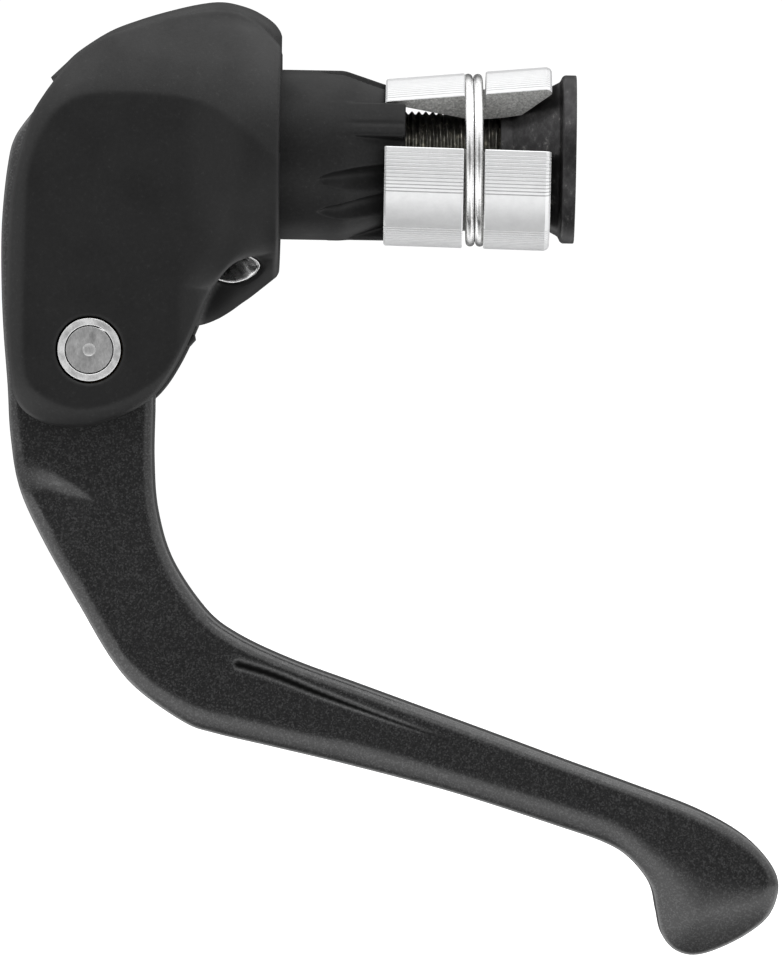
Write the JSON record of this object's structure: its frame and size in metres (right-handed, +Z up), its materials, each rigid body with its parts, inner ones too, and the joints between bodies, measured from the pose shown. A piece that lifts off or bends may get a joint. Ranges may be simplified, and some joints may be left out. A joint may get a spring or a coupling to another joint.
{
  "type": "brake lever",
  "caption": "Bar-end brake lever: black clevis bracket with an expanding plug for a base bar's end and a gloss black curved blade.",
  "frame": {"origin": "on the bar's axis, in the plane of the bracket's shoulder that the bar's end rests against", "axes": "+X into the bar, +Z up, Y across the lever; the near side in the side view is -Y"},
  "size_m": [0.0847, 0.0268, 0.1018],
  "materials": {
    "black_resin": "matt black glass-filled resin, fine moulded grain",
    "gloss_black": "gloss black clear coat over fine metallic flakes",
    "rubber": "matt black rubber",
    "bright_aluminium": "satin bright, machined ridges",
    "dark_anodised": "dark grey anodised, turned",
    "steel": "ground stainless steel",
    "dark_steel": "blackened steel",
    "bronze": "sintered bronze"
  },
  "bodies": {
    "bracket": {"bracket_body": "black_resin", "plug_sleeve": "black_resin", "stop_bumper": "rubber", "port_ferrule_near": "steel", "port_ferrule_far": "steel", "bolt_washer": "steel", "axle_bush_near": "steel", "axle_bush_far": "steel", "pivot_axle": "steel", "axle_retaining_clip": "dark_steel", "spring_spool": "black_resin", "return_spring": "steel"},
    "draw_bolt": {"draw_bolt": "dark_steel", "casing_stop": "steel"},
    "wedge": {"expander_wedge": "dark_anodised"},
    "segment_upper": {"grip_segment_upper": "bright_aluminium"},
    "segment_front": {"grip_segment_front": "bright_aluminium"},
    "segment_rear": {"grip_segment_rear": "bright_aluminium"},
    "ring": {"segment_ring": "steel"},
    "lever": {"lever_blade": "gloss_black", "lever_bushing_near": "bronze", "lever_bushing_far": "bronze"},
    "cable_hook": {"cable_hook": "steel"}
  },
  "joints": [
    {"name": "lever_pull", "type": "hinge", "parent": "bracket", "child": "lever", "pos_m": [-0.0201, 0, -0.0216], "axis": [0, -1, 0], "range_deg": [0, 36], "stiffness_Nm_per_rad": 0.15, "springref_deg": -17.19, "deforming": ["return_spring"]},
    {"name": "cable_hook_turn", "type": "hinge", "parent": "lever", "child": "cable_hook", "pos_m": [-0.0229, 0, 0.0002], "axis": [0, -1, 0], "range_deg": [-36.5, 0.5]},
    {"name": "wedge_draw", "type": "slide", "parent": "bracket", "child": "wedge", "axis": [-1, 0, 0], "range_m": [0, 0.00225]},
    {"name": "draw_bolt_turn", "type": "hinge", "parent": "bracket", "child": "draw_bolt", "pos_m": [0, 0, 0], "axis": [1, 0, 0], "range_deg": [0, 1082]},
    {"name": "segment_upper_grip", "type": "slide", "parent": "bracket", "child": "segment_upper", "axis": [-0.9511, -0.0269, 0.3078], "range_m": [0, 0.0016]},
    {"name": "segment_front_grip", "type": "slide", "parent": "bracket", "child": "segment_front", "axis": [-0.9511, -0.2531, -0.1772], "range_m": [0, 0.0016]},
    {"name": "segment_rear_grip", "type": "slide", "parent": "bracket", "child": "segment_rear", "axis": [-0.9511, 0.2801, -0.1306], "range_m": [0, 0.0016]},
    {"name": "ring_draw", "type": "slide", "parent": "bracket", "child": "ring", "axis": [-1, 0, 0], "range_m": [0, 0.0016]}
  ],
  "couplings": [
    {"joint": "cable_hook_turn", "follows": "lever_pull", "ratio": -1},
    {"joint": "draw_bolt_turn", "follows": "wedge_draw", "rad_per_m": 8377.6},
    {"joint": "segment_upper_grip", "follows": "wedge_draw", "ratio": 0.69186},
    {"joint": "segment_front_grip", "follows": "wedge_draw", "ratio": 0.69186},
    {"joint": "segment_rear_grip", "follows": "wedge_draw", "ratio": 0.69186},
    {"joint": "ring_draw", "follows": "wedge_draw", "ratio": 0.658}
  ]
}
